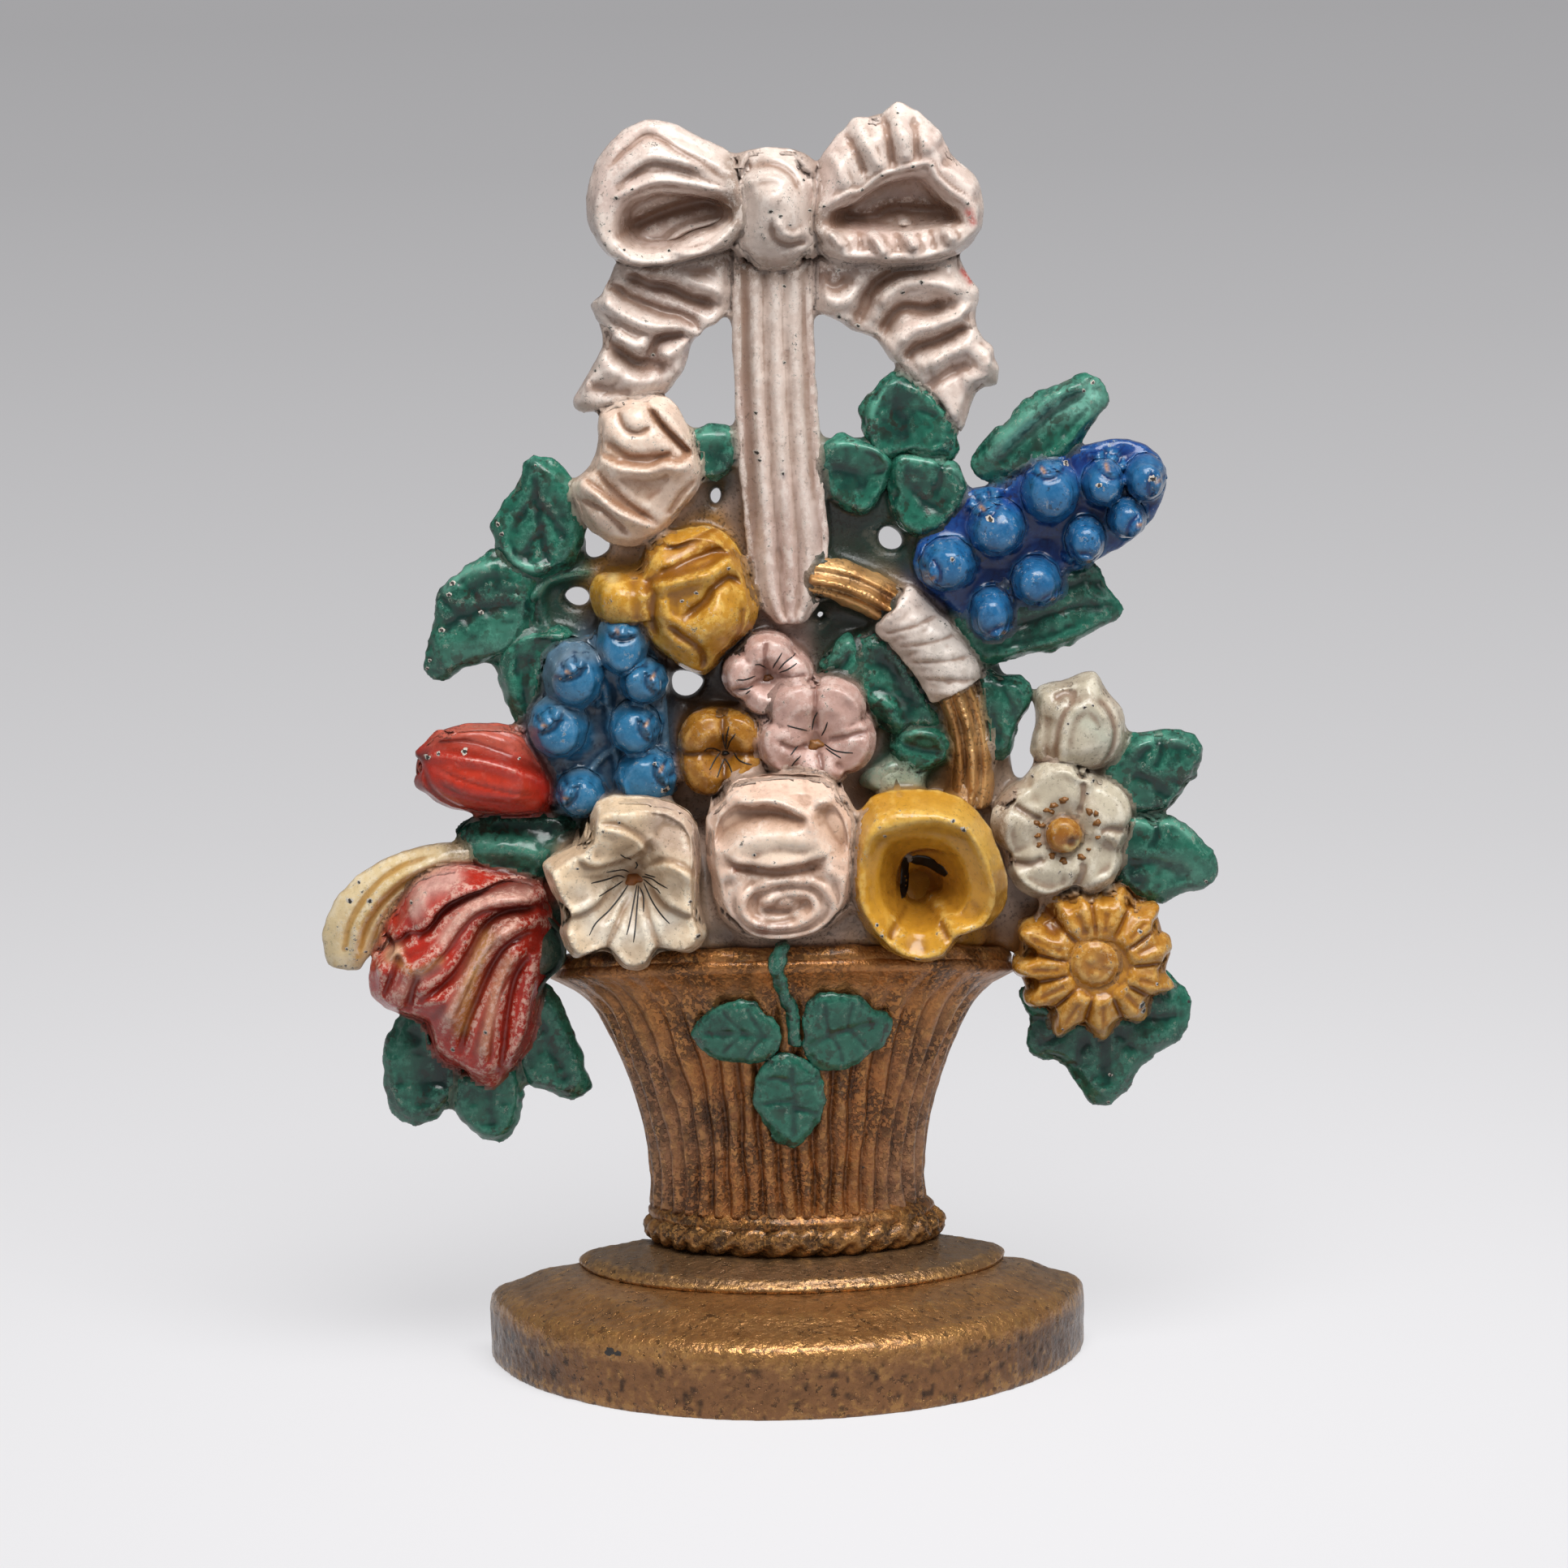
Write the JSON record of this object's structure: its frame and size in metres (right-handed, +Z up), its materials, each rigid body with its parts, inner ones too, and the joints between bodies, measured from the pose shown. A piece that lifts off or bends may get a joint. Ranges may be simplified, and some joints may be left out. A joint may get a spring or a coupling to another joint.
{
  "type": "cast iron doorstop",
  "caption": "Flat-backed doorstop in the form of a fluted basket of flowers with a ribbon bow, standing on a half-round plinth.",
  "frame": {"origin": "centre of the plinth's underside, halfway between the flat back and the front of the plinth", "axes": "+Z up, +Y out of the flat back, the flowers face -Y, +X to the viewer's right"},
  "size_m": [0.1929, 0.054, 0.272],
  "materials": {
    "bronze_paint": "bronze powder paint, worn and pitted",
    "ribbon_cream": "old enamel, pinkish cream, semi-gloss",
    "rosebud_cream": "old enamel, warm cream",
    "rose_pink": "old enamel, pale pink",
    "yellow_paint": "old enamel, yellow shaded with ochre",
    "sky_blue": "old enamel, light blue",
    "deep_blue": "old enamel, blue with navy hollows",
    "leaf_green": "old enamel, green mottled light and dark",
    "mauve_paint": "old enamel, dusty mauve",
    "ochre_paint": "old enamel, ochre",
    "tulip_red": "old enamel, red with worn pink ridges",
    "tulip_cream": "old enamel, cream streaked with yellow",
    "petunia_cream": "old enamel, cream",
    "blossom_white": "old enamel, grey white",
    "daisy_gold": "old enamel, golden yellow",
    "ground_paint": "thin greyish overspray on iron",
    "cast_iron_back": "as-cast iron, thinly painted, a guess"
  },
  "bodies": {
    "root": {"backing_web": "cast_iron_back", "basket_body": "bronze_paint", "basket_foot": "bronze_paint", "basket_handle": "bronze_paint", "basket_rim": "bronze_paint", "blossom_eye": "ochre_paint", "bluebell_spike_left": "sky_blue", "bluebell_spike_right": "deep_blue", "bouquet_mound": "ground_paint", "bow_knot": "ribbon_cream", "bow_loop_left": "ribbon_cream", "bow_loop_right": "ribbon_cream", "bow_tail_left": "ribbon_cream", "bow_tail_right": "ribbon_cream", "cream_petunia": "petunia_cream", "daisy_eye": "daisy_gold", "golden_daisy": "daisy_gold", "handle_wrap": "ribbon_cream", "leaf_behind_rosebud": "leaf_green", "leaf_beside_handle": "leaf_green", "leaf_blossom_lower": "leaf_green", "leaf_blossom_upper": "leaf_green", "leaf_centre_back": "leaf_green", "leaf_centre_lower": "leaf_green", "leaf_centre_pale": "leaf_green", "leaf_centre_upper": "leaf_green", "leaf_daisy": "leaf_green", "leaf_left_lower": "leaf_green", "leaf_left_outer": "leaf_green", "leaf_left_top": "leaf_green", "leaf_right_inner": "leaf_green", "leaf_right_long_lower": "leaf_green", "leaf_right_long_upper": "leaf_green", "leaf_right_middle": "leaf_green", "leaf_right_top": "leaf_green", "leaf_tulip_left": "leaf_green", "leaf_tulip_middle": "leaf_green", "leaf_tulip_right": "leaf_green", "leaf_under_bud": "leaf_green", "mauve_primrose_lower": "mauve_paint", "mauve_primrose_upper": "mauve_paint", "ochre_pansy": "ochre_paint", "parrot_tulip": "tulip_red", "parrot_tulip_outer_petal": "tulip_cream", "pink_rose": "rose_pink", "plinth": "bronze_paint", "plinth_step": "bronze_paint", "red_tulip_bud": "tulip_red", "ribbon_stem": "ribbon_cream", "rope_band": "bronze_paint", "rosebud": "rosebud_cream", "sprig_leaf_bottom": "leaf_green", "sprig_leaf_left": "leaf_green", "sprig_leaf_right": "leaf_green", "sprig_stem": "leaf_green", "white_blossom": "blossom_white", "white_bud": "blossom_white", "yellow_rose": "yellow_paint", "yellow_trumpet": "yellow_paint"}
  },
  "joints": []
}
